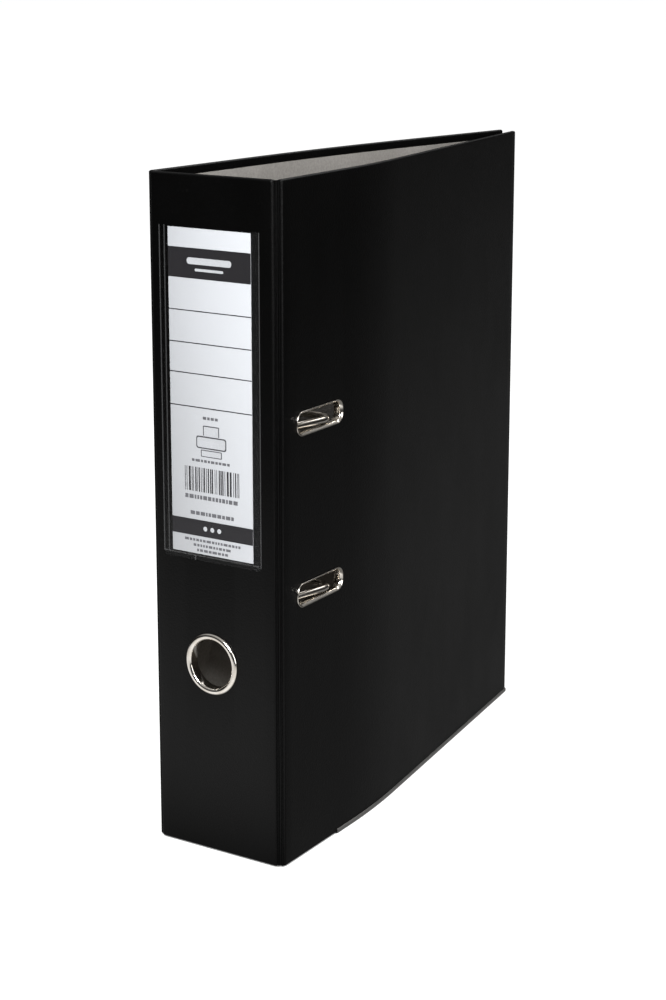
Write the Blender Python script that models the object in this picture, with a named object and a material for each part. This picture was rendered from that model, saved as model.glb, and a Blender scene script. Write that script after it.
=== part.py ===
"""A4 lever arch file: two covers and a spine of film-wrapped board, with a lever arch mechanism inside.

Units are metres and +Z is up. The file stands on its lower edge. The spine faces -Y, the covers run back
along +Y, the back cover is on the -X side and carries the mechanism, and the front cover is on the +X
side. Dimensions are from the bottom of the spine's outer face, in its middle. At the end the whole file
is moved so that the origin is below the middle of the box round it.
"""

import math

import bmesh
import bpy
from mathutils import Matrix, Vector

# Driving dimensions of the covers and spine
HEIGHT = 0.318
COVER_LENGTH = 0.282
SPINE_WIDTH = 0.0678
FILM = 0.00035
BOARD = 0.0016
LINING = 0.00035
LAYER_GAP = 0.00015
THICKNESS = FILM + LAYER_GAP + BOARD + LAYER_GAP + LINING
TURN_IN = 0.004
GAP = 0.0003
BOTTOM = 0.00055
SPINE_EDGE = SPINE_WIDTH / 2
FILE_MIDDLE = (-0.000525, 0.14166, 0.0)

# Where the covers start beside the spine, and the axis of the flexible hinge between them
COVER_START = (SPINE_EDGE + 0.0032, 0.0027)
HINGE_AXIS = (SPINE_EDGE + 0.0016, 0.00135)

# Each cover is flat beside the spine, then bows gently inward. Leans are in degrees towards the middle
FRONT = {"side": 1, "lean": (4.8, 11.5), "flat": 0.060, "bend": 0.050}
BACK = {"side": -1, "lean": (0.0, 6.3), "flat": 0.080, "bend": 0.120}
BEND_STEPS = 6

# Edge rails
RAIL_START = 0.048
RAIL_SHEET = 0.0004
RAIL_HEIGHT = 0.0026

# Spine fittings
RING_CENTRE = (-0.0024, 0.0925)
RING_BORE = 0.01175
LABEL_LEFT = -0.0240
LABEL_RIGHT = 0.0223
LABEL_BOTTOM = 0.1446
LABEL_TOP = 0.2941
POCKET_LEFT = -0.0292
POCKET_RIGHT = 0.0268
POCKET_BOTTOM = 0.1414
POCKET_TOP = 0.2946
POCKET_SHEET = 0.00025
CARD_THICKNESS = 0.00025

# Mechanism: hole spacing of the standard punch, and the height of its middle
HOLE_SPACING = 0.080
MECHANISM_HEIGHT = 0.1655
ARCH_HEIGHTS = (MECHANISM_HEIGHT - HOLE_SPACING / 2, MECHANISM_HEIGHT + HOLE_SPACING / 2)
PLATE_BOTTOM = -COVER_START[0] + THICKNESS + 0.0002
PLATE_SHEET = 0.0012
PLATE_TOP = PLATE_BOTTOM + PLATE_SHEET
PLATE_Y = (0.008, 0.056)
PLATE_LENGTH = 0.146

WIRE_RADIUS = 0.0017
ARCH_AXIS = (-0.0302, 0.013)
CRANK_OFFSET = 0.008
CRANK_START = 0.172
CRANK_RUN = 0.004
CRANK_END = 0.192
BEARING_HEIGHTS = (0.1365, 0.1605, 0.1965)
POST_Y = 0.0465
POST_RADIUS = 0.0025
POST_TOP = 0.0122
ARCH_TIP = 0.0119

# Lever: an arm at 45 degrees carries the roller, nearer to the plate and higher than the pivot
ROLLER_RADIUS = 0.004
ROLLER_ARM = 0.006
ROLLER_DROP = ROLLER_ARM * math.cos(math.radians(45))
LEVER_X = ARCH_AXIS[0] + WIRE_RADIUS + GAP + ROLLER_RADIUS + ROLLER_DROP
LEVER_Z = 0.1808
LEVER_Y = (0.0156, 0.0274)
LEVER_SHEET = 0.0008
PIN_RADIUS = 0.00125

# Front cover slots: their middle along the cover, their heights, and the clear opening
SLOT_MIDDLE = 0.032
SLOT_RAISE = 0.0021
SLOT_HALF_LENGTH = 0.01935
SLOT_HALF_HEIGHT = 0.0043
SLOT_CORNER = 0.0036

# Compressor bar
BAR_Y = (0.038, 0.055)
BAR_Z = (0.108, 0.223)
BAR_FLOOR = -0.0296
BAR_SHEET = 0.001
BAR_FLANGE = 0.0042
CATCH_PIN = (-0.0269, 0.1115)

PAST = 0.002  # how far a cutter runs past the face that it cuts
ROUND_STEPS = 24


def clear_scene():
    for obj in list(bpy.data.objects):
        bpy.data.objects.remove(obj, do_unlink=True)


def make_material(name, colour, roughness, metallic=0.0):
    material = bpy.data.materials.new(name)
    material.use_nodes = True
    shader = material.node_tree.nodes["Principled BSDF"]
    shader.inputs["Base Color"].default_value = (*colour, 1.0)
    shader.inputs["Roughness"].default_value = roughness
    shader.inputs["Metallic"].default_value = metallic
    return material


def finish(name, bm, material, smooth=False):
    """Turn a bmesh into an object in the scene, with its faces pointing out."""
    bmesh.ops.recalc_face_normals(bm, faces=bm.faces)
    mesh = bpy.data.meshes.new(name)
    bm.to_mesh(mesh)
    bm.free()
    obj = bpy.data.objects.new(name, mesh)
    bpy.context.scene.collection.objects.link(obj)
    if material:
        obj.data.materials.append(material)
    if smooth:
        mesh.shade_smooth()
        mesh.set_sharp_from_angle(angle=math.radians(35))
    return obj


def on_axis(obj, point):
    """Move an object's origin to a point on its joint's axis and leave its shape where it is."""
    obj.data.transform(Matrix.Translation(-Vector(point)))
    obj.location = point
    return obj


def boolean(obj, other, operation):
    """Combine obj with a helper that stays out of the render."""
    other.hide_render = True
    other.display_type = "WIRE"
    modifier = obj.modifiers.new(operation.title(), "BOOLEAN")
    modifier.operation = operation
    modifier.solver = "EXACT"
    modifier.object = other


def cut(obj, *cutters):
    for cutter in cutters:
        boolean(obj, cutter, "DIFFERENCE")


def join(obj, *others):
    for other in others:
        boolean(obj, other, "UNION")


def box(name, low, high, material=None):
    bm = bmesh.new()
    size = Vector(high) - Vector(low)
    middle = (Vector(high) + Vector(low)) / 2
    bmesh.ops.create_cube(bm, size=1.0, matrix=Matrix.Translation(middle) @ Matrix.Diagonal((*size, 1.0)))
    return finish(name, bm, material)


def loft(name, loops, material, closed=False, smooth=False):
    """A solid through loops of points. A closed one joins its last loop to its first, as a ring does."""
    bm = bmesh.new()
    rows = [[bm.verts.new(point) for point in loop] for loop in loops]
    count = len(rows[0])
    pairs = list(zip(rows, rows[1:]))
    if closed:
        pairs.append((rows[-1], rows[0]))
    for first, second in pairs:
        for i in range(count):
            j = (i + 1) % count
            bm.faces.new((first[i], first[j], second[j], second[i]))
    if not closed:
        bm.faces.new(rows[0])
        bm.faces.new(rows[-1])
    return finish(name, bm, material, smooth)


def rod(name, axis, centre, radius, low, high, material=None, steps=ROUND_STEPS):
    """A plain round bar or hole along a world axis, between two places on that axis."""
    profile = [(0.0, low), (radius, low), (radius, high), (0.0, high)]
    return turned(name, axis, centre, profile, material, steps)


def turned(name, axis, centre, profile, material=None, steps=ROUND_STEPS):
    """Spin a profile of (radius, place along the axis) about a world axis. centre holds the other two
    coordinates in X, Y, Z order."""
    along = "XYZ".index(axis)
    across = [i for i in range(3) if i != along]
    origin = Vector((0, 0, 0))
    for index, value in zip(across, centre):
        origin[index] = value
    direction = Vector((0, 0, 0))
    direction[along] = 1.0
    bm = bmesh.new()
    verts = []
    for radius, place in profile:
        point = origin.copy()
        point[along] = place
        point[across[0]] += radius
        verts.append(bm.verts.new(point))
    edges = [bm.edges.new(pair) for pair in zip(verts, verts[1:])]
    if profile[0][0] > 0:
        edges.append(bm.edges.new((verts[-1], verts[0])))
    bmesh.ops.spin(
        bm, geom=verts + edges, cent=origin, axis=direction, angle=2 * math.pi, steps=steps, use_merge=True
    )
    bmesh.ops.remove_doubles(bm, verts=bm.verts, dist=1e-6)
    return finish(name, bm, material, smooth=True)


def filleted(points, radii, steps=5):
    """Points of a bent wire: straight runs, with each inner corner replaced by an arc of its radius."""
    path = [Vector(points[0])]
    for before, corner, after, radius in zip(points, points[1:], points[2:], radii):
        corner = Vector(corner)
        to_before = (Vector(before) - corner).normalized()
        to_after = (Vector(after) - corner).normalized()
        half = to_before.angle(to_after) / 2
        middle = corner + (to_before + to_after).normalized() * (radius / math.sin(half))
        start = corner + to_before * (radius / math.tan(half)) - middle
        end = corner + to_after * (radius / math.tan(half)) - middle
        turn = start.angle(end)
        for i in range(steps + 1):
            share = i / steps
            mix = start * math.sin((1 - share) * turn) + end * math.sin(share * turn)
            path.append(middle + mix / math.sin(turn))
    path.append(Vector(points[-1]))
    return path


def wire(name, path, radius, material, end_shares=(), steps=3):
    """A round wire along a path. end_shares are the widths, as shares of the radius, that the first
    points take; the last points mirror them."""
    curve = bpy.data.curves.new(name, "CURVE")
    curve.dimensions = "3D"
    curve.bevel_depth = radius
    curve.bevel_resolution = steps
    curve.use_fill_caps = True
    spline = curve.splines.new("POLY")
    spline.points.add(len(path) - 1)
    for point, place in zip(spline.points, path):
        point.co = (*place, 1.0)
    for i, share in enumerate(end_shares):
        spline.points[i].radius = share
        spline.points[-1 - i].radius = share
    curve.materials.append(material)
    obj = bpy.data.objects.new(name, curve)
    bpy.context.scene.collection.objects.link(obj)
    return obj


# Covers and spine


def cover_place(cover, along):
    """The outer face of a cover seen from above: the point at a distance along it, the direction along
    it, and the direction into the file."""
    lean_start, lean_end = (math.radians(lean) for lean in cover["lean"])
    radius = cover["bend"] / (lean_end - lean_start)
    before = min(along, cover["flat"])
    bent = min(max(along - cover["flat"], 0.0), cover["bend"])
    after = max(along - cover["flat"] - cover["bend"], 0.0)
    lean = lean_start + bent / radius
    inward = before * math.sin(lean_start) + radius * (math.cos(lean_start) - math.cos(lean))
    inward += after * math.sin(lean)
    forward = before * math.cos(lean_start) + radius * (math.sin(lean) - math.sin(lean_start))
    forward += after * math.cos(lean)
    side = cover["side"]
    point = Vector((side * (COVER_START[0] - inward), COVER_START[1] + forward, 0.0))
    direction = Vector((-side * math.sin(lean), math.cos(lean), 0.0))
    into = Vector((-side * math.cos(lean), -math.sin(lean), 0.0))
    return point, direction, into


def cover_slab(name, cover, along, heights, depths, material=None):
    """A sheet that follows a cover's bow: from and to along the cover, in height, and in depth."""
    bend_places = [cover["flat"] + cover["bend"] * i / BEND_STEPS for i in range(BEND_STEPS + 1)]
    places = [along[0], *(place for place in bend_places if along[0] < place < along[1]), along[1]]
    (outer, inner), (low, high) = depths, heights
    corners = ((outer, low), (inner, low), (inner, high), (outer, high))
    loops = []
    for place in places:
        point, _, into = cover_place(cover, place)
        loops.append([point + into * depth + Vector((0, 0, height)) for depth, height in corners])
    return loft(name, loops, material)


def spine_slab(name, across, heights, depths, material=None):
    return box(name, (across[0], depths[0], heights[0]), (across[1], depths[1], heights[1]), material)


def wrapped_panel(prefix, slab, along, free_ends, looks):
    """One stiff panel: film wrapped round a board, with a lining set into its inner face. The film turns
    in by TURN_IN at the top, the bottom and each free end."""
    heights = (BOTTOM, HEIGHT)
    edge = FILM + LAYER_GAP
    margins = [TURN_IN if free else edge for free in free_ends]

    def inset(pair, low, high=None):
        return pair[0] + low, pair[1] - (low if high is None else high)

    film = slab(prefix + "_film", along, heights, (0.0, THICKNESS), looks["film"])
    hollow = slab(
        prefix + "_film_hollow", inset(along, FILM), inset(heights, FILM), (FILM, THICKNESS - LINING)
    )
    window = slab(
        prefix + "_film_window",
        inset(along, margins[0], margins[1]),
        inset(heights, TURN_IN),
        (THICKNESS - LINING - LAYER_GAP, THICKNESS + PAST),
    )
    cut(film, hollow, window)
    board_depths = (edge, edge + BOARD)
    board = slab(prefix + "_board", inset(along, edge), inset(heights, edge), board_depths, looks["board"])
    lining = slab(
        prefix + "_lining",
        inset(along, margins[0] + LAYER_GAP, margins[1] + LAYER_GAP),
        inset(heights, TURN_IN + LAYER_GAP),
        (THICKNESS - LINING, THICKNESS),
        looks["lining"],
    )
    return film, board, lining


def cover_panel(prefix, cover, looks):
    def slab(name, along, heights, depths, material=None):
        return cover_slab(name, cover, along, heights, depths, material)

    return wrapped_panel(prefix, slab, (0.0, COVER_LENGTH), (False, True), looks)


def edge_rail(name, cover, material):
    """A sheet-metal channel clipped over the cover's bottom edge and closed at the free corner."""
    sheet = RAIL_SHEET + LAYER_GAP
    end = COVER_LENGTH + sheet
    depths = (-sheet, THICKNESS + sheet)
    rail = cover_slab(name, cover, (RAIL_START, end), (0.0, RAIL_HEIGHT), depths, material)
    channel = cover_slab(
        name + "_channel",
        cover,
        (RAIL_START - PAST, COVER_LENGTH + LAYER_GAP),
        (RAIL_SHEET, RAIL_HEIGHT + PAST),
        (-LAYER_GAP, THICKNESS + LAYER_GAP),
    )
    cut(rail, channel)


def hinge_strip(name, side, material):
    """The flexible strip between the spine and a cover, set back between their edges."""
    outline = (
        (SPINE_EDGE + LAYER_GAP, 0.0005),
        (SPINE_EDGE + 0.0024, 0.0019),
        (SPINE_EDGE + 0.0020, 0.0023),
        (SPINE_EDGE + LAYER_GAP, 0.00125),
    )
    loops = [[(side * x, y, height) for x, y in outline] for height in (BOTTOM, HEIGHT)]
    loft(name, loops, material)


def rounded_slot(half_length, half_height, corner, steps=5):
    """Outline of a slot with round corners, as (along, up) pairs."""
    outline = []
    for quarter, (right, up) in enumerate(((1, 1), (-1, 1), (-1, -1), (1, -1))):
        for i in range(steps + 1):
            angle = math.radians(90) * (quarter + i / steps)
            outline.append(
                (
                    right * (half_length - corner) + corner * math.cos(angle),
                    up * (half_height - corner) + corner * math.sin(angle),
                )
            )
    return outline


def slot_loops(height, profile):
    """Loops round a front cover slot, one for each (distance out from the opening, depth)."""
    middle, along, into = cover_place(FRONT, SLOT_MIDDLE)
    loops = []
    for out, depth in profile:
        outline = rounded_slot(SLOT_HALF_LENGTH + out, SLOT_HALF_HEIGHT + out, SLOT_CORNER + out)
        base = middle + into * depth + Vector((0, 0, height))
        loops.append([base + along * a + Vector((0, 0, up)) for a, up in outline])
    return loops


def slot_fittings(prefix, height, metal):
    """The drawn metal eyelet that lines a slot, and the frame inside that it is clinched over."""
    wall = 0.0005
    lip = THICKNESS + 0.00085
    roll = [
        (0.0, 0.0003),
        (0.0001, -0.0004),
        (0.0004, -0.00075),
        (0.0009, -0.00075),
        (0.0013, -0.0005),
        (0.0014, -LAYER_GAP),
    ]
    flange = wall + 0.0007
    tube = [(wall, -LAYER_GAP), (wall, lip), (flange, lip), (flange, lip + 0.0004), (0.0, lip + 0.0004)]
    loft(prefix + "_slot_eyelet", slot_loops(height, roll + tube), metal, closed=True, smooth=True)
    frame = [(0.0008, THICKNESS + LAYER_GAP), (0.0028, THICKNESS + LAYER_GAP)]
    frame += [(out, depth + 0.0004) for out, depth in reversed(frame)]
    loft(prefix + "_slot_frame", slot_loops(height, frame), metal, closed=True)


def slot_cutter(name, height):
    return loft(name, slot_loops(height, [(0.0008, -PAST), (0.0008, THICKNESS + PAST)]), None)


# Spine fittings


def finger_ring(looks):
    """The metal eyelet for a finger, rolled over outside and clinched over a washer inside."""
    roll_middle = RING_BORE + 0.0015
    roll = []
    for i in range(9):
        angle = math.radians(180 - 22.5 * i)
        roll.append((roll_middle + 0.0015 * math.cos(angle), -LAYER_GAP - 0.0011 * math.sin(angle)))
    wall = RING_BORE + 0.0006
    lip = THICKNESS + 0.0011
    tube = [(wall, -LAYER_GAP), (wall, lip), (wall + 0.0013, lip), (wall + 0.0013, lip + 0.0004)]
    tube += [(RING_BORE, lip + 0.0004)]
    turned("finger_ring", "Y", RING_CENTRE, roll + tube, looks["chrome"], steps=40)
    washer = [
        (wall + GAP, THICKNESS + LAYER_GAP),
        (wall + 0.0032, THICKNESS + LAYER_GAP),
        (wall + 0.0032, THICKNESS + LAYER_GAP + 0.0006),
        (wall + GAP, THICKNESS + LAYER_GAP + 0.0006),
    ]
    turned("finger_ring_washer", "Y", RING_CENTRE, washer, looks["nickel"], steps=40)
    return wall + GAP


def label(looks):
    """The clear pocket, welded on three sides and open at the top, and the card that slides into it."""
    card_back = -LAYER_GAP
    card_front = card_back - CARD_THICKNESS
    sheet_back = card_front - LAYER_GAP
    low = (POCKET_LEFT, sheet_back - POCKET_SHEET, POCKET_BOTTOM)
    high = (POCKET_RIGHT, -LAYER_GAP / 3, POCKET_TOP)
    pocket = box("label_pocket", low, high, looks["clear"])
    room_low = (LABEL_LEFT - GAP, sheet_back, LABEL_BOTTOM - GAP)
    room_high = (LABEL_RIGHT + GAP, PAST, POCKET_TOP + PAST)
    cut(pocket, box("label_pocket_room", room_low, room_high))
    card_low = (LABEL_LEFT, card_front, LABEL_BOTTOM)
    card_high = (LABEL_RIGHT, card_back, LABEL_TOP)
    box("label_card", card_low, card_high, looks["card"])


# Mechanism


def base_plate(looks):
    """The sheet-steel plate riveted to the back cover, with bearings for the arches and lugs for the lever."""
    low_end = MECHANISM_HEIGHT - PLATE_LENGTH / 2
    high_end = MECHANISM_HEIGHT + PLATE_LENGTH / 2
    corner = 0.005
    outline = rounded_slot((PLATE_Y[1] - PLATE_Y[0]) / 2, PLATE_LENGTH / 2, corner)
    middle_y = sum(PLATE_Y) / 2
    loops = [[(x, middle_y + y, MECHANISM_HEIGHT + z) for y, z in outline] for x in (PLATE_BOTTOM, PLATE_TOP)]
    plate = loft("base_plate", loops, looks["nickel"])
    axis_x, axis_y = ARCH_AXIS
    for number, height in enumerate(BEARING_HEIGHTS, 1):
        block = box(
            f"bearing_{number}",
            (PLATE_BOTTOM + 0.0004, axis_y - 0.0030, height - 0.002),
            (axis_x + 0.0030, axis_y + 0.0028, height + 0.002),
        )
        join(plate, block)
    room = 0.0005
    lugs = ((LEVER_Y[0] - room, -0.0011), (LEVER_Y[1] + room, 0.0011))
    for number, (inner, sheet) in enumerate(lugs, 1):
        sides = sorted((inner, inner + sheet))
        lug = box(
            f"lever_lug_{number}",
            (PLATE_BOTTOM + 0.0004, sides[0], LEVER_Z - 0.0033),
            (LEVER_X + 0.0030, sides[1], LEVER_Z + 0.0033),
        )
        join(plate, lug)
    cut(plate, rod("arch_bore", "Z", ARCH_AXIS, WIRE_RADIUS + GAP, low_end + PAST, high_end - PAST))
    bore_ends = (LEVER_Y[0] - 0.005, LEVER_Y[1] + 0.005)
    cut(plate, rod("lever_bore", "Y", (LEVER_X, LEVER_Z), PIN_RADIUS + GAP, *bore_ends))
    return plate


def rivet_places():
    """The four corners of the base plate, as (Y, Z)."""
    for y in (PLATE_Y[0] + 0.008, PLATE_Y[1] - 0.006):
        for z in (-1, 1):
            yield y, MECHANISM_HEIGHT + z * (PLATE_LENGTH / 2 - 0.009)


def rivets(looks, drilled):
    """Flat-headed rivets that hold the mechanism to the back cover. Their heads show on the outside."""
    outside = -COVER_START[0] - LAYER_GAP
    inside = PLATE_TOP + LAYER_GAP
    shank = 0.0018
    for number, place in enumerate(rivet_places(), 1):
        profile = [
            (0.0, outside - 0.0009),
            (0.0026, outside - 0.00085),
            (0.0041, outside - 0.0005),
            (0.0045, outside),
            (shank, outside),
            (shank, inside),
            (0.0032, inside),
            (0.0029, inside + 0.0007),
            (0.0018, inside + 0.0010),
            (0.0, inside + 0.0011),
        ]
        turned(f"rivet_{number}", "X", place, profile, looks["nickel"])
        hole = rod(f"rivet_hole_{number}", "X", place, shank + GAP, outside - PAST, inside + PAST)
        for obj in drilled:
            cut(obj, hole)


def posts(looks, plate):
    """The two fixed posts that the punched sheets hang on, with a cupped top for the tip of an arch."""
    shank = POST_RADIUS - 0.0007
    foot = PLATE_TOP + LAYER_GAP
    for name, height in zip(("lower_post", "upper_post"), ARCH_HEIGHTS):
        profile = [
            (0.0, PLATE_BOTTOM + 0.0001),
            (shank, PLATE_BOTTOM + 0.0001),
            (shank, foot),
            (0.0040, foot),
            (0.0040, foot + 0.0010),
            (POST_RADIUS, foot + 0.0014),
            (POST_RADIUS, POST_TOP),
            (POST_RADIUS - 0.0004, POST_TOP),
            (0.0, POST_TOP - 0.0012),
        ]
        turned(name, "X", (POST_Y, height), profile, looks["nickel"], steps=20)
        hole_ends = (PLATE_BOTTOM - PAST, PLATE_TOP + PAST)
        cut(plate, rod(name + "_hole", "X", (POST_Y, height), shank + GAP, *hole_ends))


def arch_wire(looks):
    """One bent wire: two hoops, and between them the bar that turns in the bearings, with a crank that
    the lever's roller presses down."""
    axis_x, axis_y = ARCH_AXIS
    low, high = ARCH_HEIGHTS
    crank_y = axis_y + CRANK_OFFSET
    shoulder = (0.0294, axis_y)
    crown = (0.0339, POST_Y)
    neck = ARCH_TIP + 0.0014
    points = [
        (neck, POST_Y, low),
        (*crown, low),
        (*shoulder, low),
        (axis_x, axis_y, low),
        (axis_x, axis_y, CRANK_START),
        (axis_x, crank_y, CRANK_START + CRANK_RUN),
        (axis_x, crank_y, CRANK_END - CRANK_RUN),
        (axis_x, axis_y, CRANK_END),
        (axis_x, axis_y, high),
        (*shoulder, high),
        (*crown, high),
        (neck, POST_Y, high),
    ]
    hoop = (0.007, 0.009, 0.004)
    crank = (0.0024,) * 4
    bends = filleted(points, (*hoop, *crank, *reversed(hoop)))
    tips = [Vector((ARCH_TIP, POST_Y, height)) for height in ARCH_HEIGHTS]
    return wire("arch_wire", [tips[0], *bends, tips[1]], WIRE_RADIUS, looks["chrome"], end_shares=(0.2, 1.0))


def arch_spring(looks):
    """Torsion spring round the arch bar, between two bearings. It throws the arches open."""
    thread = 0.0003
    coil = WIRE_RADIUS + GAP + thread
    turns = 4
    steps = 12
    axis_x, axis_y = ARCH_AXIS
    start = 0.1445
    pitch = 0.0016
    path = [Vector((axis_x - coil, axis_y + 0.010, start))]
    for i in range(turns * steps + 1):
        angle = math.pi + 2 * math.pi * i / steps
        height = start + pitch * i / steps
        path.append(Vector((axis_x + coil * math.cos(angle), axis_y + coil * math.sin(angle), height)))
    path.append(path[-1] + Vector((0.0, 0.008, 0.0)))
    wire("arch_spring", path, thread, looks["spring"], steps=1)


def lever(looks):
    """A pressed channel with its handle pointing up the file, a curled finger end, and the roller arm."""
    side = [
        (0.0050, -0.0045),
        (0.0005, -0.0055),
        (-0.0035, -0.0045),
        (-0.0066, 0.0002),
        (-0.0071, 0.0042),
        (-0.0057, 0.0072),
        (-0.0030, 0.0095),
        (-0.0010, 0.0130),
        (-0.0010, 0.0590),
        (0.0015, 0.0660),
        (0.0040, 0.0680),
        (0.0046, 0.0730),
        (0.0064, 0.0772),
        (0.0090, 0.0800),
        (0.0097, 0.0793),
        (0.0073, 0.0766),
        (0.0056, 0.0726),
        (0.0050, 0.0680),
    ]
    loops = [[(LEVER_X + x, y, LEVER_Z + z) for x, z in side] for y in LEVER_Y]
    body = loft("lever", loops, looks["nickel"])
    channel = box(
        "lever_channel",
        (LEVER_X - 0.010, LEVER_Y[0] + LEVER_SHEET, LEVER_Z - 0.010),
        (LEVER_X + 0.0050 - LEVER_SHEET, LEVER_Y[1] - LEVER_SHEET, LEVER_Z + 0.067),
    )
    cut(body, channel)
    ends = (LEVER_Y[0] - PAST, LEVER_Y[1] + PAST)
    roller_place = (LEVER_X - ROLLER_DROP, LEVER_Z + ROLLER_DROP)
    cut(body, rod("lever_pivot_hole", "Y", (LEVER_X, LEVER_Z), PIN_RADIUS + GAP, *ends))
    cut(body, rod("roller_pin_hole", "Y", roller_place, PIN_RADIUS + GAP, *ends))
    on_axis(body, (LEVER_X, 0.0, LEVER_Z))
    roller_pin_ends = (LEVER_Y[0] - 0.0002, LEVER_Y[1] + 0.0002)
    rod("roller_pin", "Y", roller_place, PIN_RADIUS, *roller_pin_ends, looks["nickel"], 16)
    roller_ends = (LEVER_Y[0] + LEVER_SHEET + GAP, LEVER_Y[1] - LEVER_SHEET - GAP)
    bore = PIN_RADIUS + GAP
    profile = [
        (bore, roller_ends[0]),
        (ROLLER_RADIUS, roller_ends[0]),
        (ROLLER_RADIUS, roller_ends[1]),
        (bore, roller_ends[1]),
    ]
    roller = turned("roller", "Y", roller_place, profile, looks["roller"], steps=24)
    on_axis(roller, (roller_place[0], 0.0, roller_place[1]))
    pin_ends = (LEVER_Y[0] - 0.0026, LEVER_Y[1] + 0.0026)
    head = 0.0007
    pin = [
        (0.0, pin_ends[0]),
        (PIN_RADIUS + head, pin_ends[0]),
        (PIN_RADIUS + head, pin_ends[0] + head),
        (PIN_RADIUS, pin_ends[0] + head),
        (PIN_RADIUS, pin_ends[1] - head),
        (PIN_RADIUS + head, pin_ends[1] - head),
        (PIN_RADIUS + head, pin_ends[1]),
        (0.0, pin_ends[1]),
    ]
    turned("lever_pivot_pin", "Y", (LEVER_X, LEVER_Z), pin, looks["nickel"], steps=16)


def compressor(looks):
    """The bar that presses the sheets down. It slides on both posts, and a catch grips the lower one."""
    floor_top = BAR_FLOOR + BAR_SHEET
    flange_top = BAR_FLOOR + BAR_FLANGE
    y_low, y_high = BAR_Y
    sheet = 0.0008
    section = (
        (BAR_FLOOR, y_low),
        (BAR_FLOOR, y_high),
        (flange_top, y_high),
        (flange_top, y_high - sheet),
        (floor_top, y_high - sheet),
        (floor_top, y_low + sheet),
        (flange_top, y_low + sheet),
        (flange_top, y_low),
    )
    bar = loft("compressor_bar", [[(x, y, z) for x, y in section] for z in BAR_Z], looks["nickel"])
    hole_ends = (BAR_FLOOR - PAST, floor_top + PAST)
    for number, height in enumerate(ARCH_HEIGHTS, 1):
        cut(bar, rod(f"bar_hole_{number}", "X", (POST_Y, height), POST_RADIUS + 0.0006, *hole_ends))
    pin_radius = 0.0006
    cut(bar, rod("catch_pin_hole", "Y", CATCH_PIN, pin_radius + GAP, y_low - PAST, y_high + PAST, steps=12))
    rod("catch_pin", "Y", CATCH_PIN, pin_radius, y_low - 0.0003, y_high + 0.0003, looks["nickel"], 12)

    pin_x, pin_z = CATCH_PIN
    side = (
        (pin_x - 0.0013, pin_z - 0.0005),
        (pin_x - 0.0013, pin_z + 0.0262),
        (pin_x + 0.0040, pin_z + 0.0300),
        (pin_x + 0.0044, pin_z + 0.0292),
        (pin_x - 0.0004, pin_z + 0.0256),
        (pin_x - 0.0004, pin_z + 0.0018),
        (pin_x + 0.0004, pin_z + 0.0014),
        (pin_x + 0.0013, pin_z + 0.0005),
        (pin_x + 0.0013, pin_z - 0.0005),
        (pin_x + 0.0006, pin_z - 0.0012),
        (pin_x - 0.0006, pin_z - 0.0012),
    )
    catch_y = (y_low + sheet + 0.001, y_high - sheet - 0.001)
    catch = loft("compressor_catch", [[(x, y, z) for x, z in side] for y in catch_y], looks["spring"])
    cut(catch, rod("catch_bore", "Y", CATCH_PIN, pin_radius + GAP, y_low, y_high, steps=12))
    cut(catch, rod("catch_grip", "X", (POST_Y, ARCH_HEIGHTS[0]), 0.0036, pin_x - 0.003, pin_x + 0.003))
    on_axis(catch, (pin_x, 0.0, pin_z))


def axis_empty(name, place, pieces, parent=None):
    """An empty on a joint's axis. The pieces that the joint moves, and any axis they carry, hang from it."""
    empty = bpy.data.objects.new(name, None)
    empty.empty_display_size = 0.01
    empty.location = place
    bpy.context.scene.collection.objects.link(empty)
    if parent:
        empty.parent = parent
        empty.matrix_parent_inverse = Matrix.Translation(-parent.location)
    for piece in pieces:
        obj = bpy.data.objects[piece]
        obj.parent = empty
        obj.matrix_parent_inverse = Matrix.Translation(-empty.location)
    return empty


def hang_on_axes():
    """The joints that carry more than one piece. The roller and the catch have their own origins on
    their axes, and hang from the lever and the bar."""
    spine_pieces = [f"spine_{layer}" for layer in ("film", "board", "lining")]
    spine_pieces += ["left_hinge_strip", "right_hinge_strip", "finger_ring", "finger_ring_washer"]
    spine_pieces += ["label_pocket", "label_card"]
    front_pieces = [f"front_{layer}" for layer in ("film", "board", "lining", "edge_rail")]
    for prefix in ("lower", "upper"):
        front_pieces += [f"{prefix}_slot_eyelet", f"{prefix}_slot_frame"]
    spine_axis = axis_empty("spine_hinge_axis", (-HINGE_AXIS[0], HINGE_AXIS[1], 0.0), spine_pieces)
    axis_empty("front_cover_hinge_axis", (*HINGE_AXIS, 0.0), front_pieces, spine_axis)
    axis_empty("arch_axis", (*ARCH_AXIS, 0.0), ["arch_wire"])
    axis_empty("lever_axis", (LEVER_X, 0.0, LEVER_Z), ["lever", "roller_pin", "roller"])
    slide = (BAR_FLOOR, POST_Y, MECHANISM_HEIGHT)
    axis_empty("compressor_slide", slide, ["compressor_bar", "catch_pin", "compressor_catch"])


def move_origin():
    """Put the origin below the middle of the file. What hangs from an axis moves with it."""
    for obj in bpy.data.objects:
        if obj.parent is None:
            obj.location -= Vector(FILE_MIDDLE)


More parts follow.
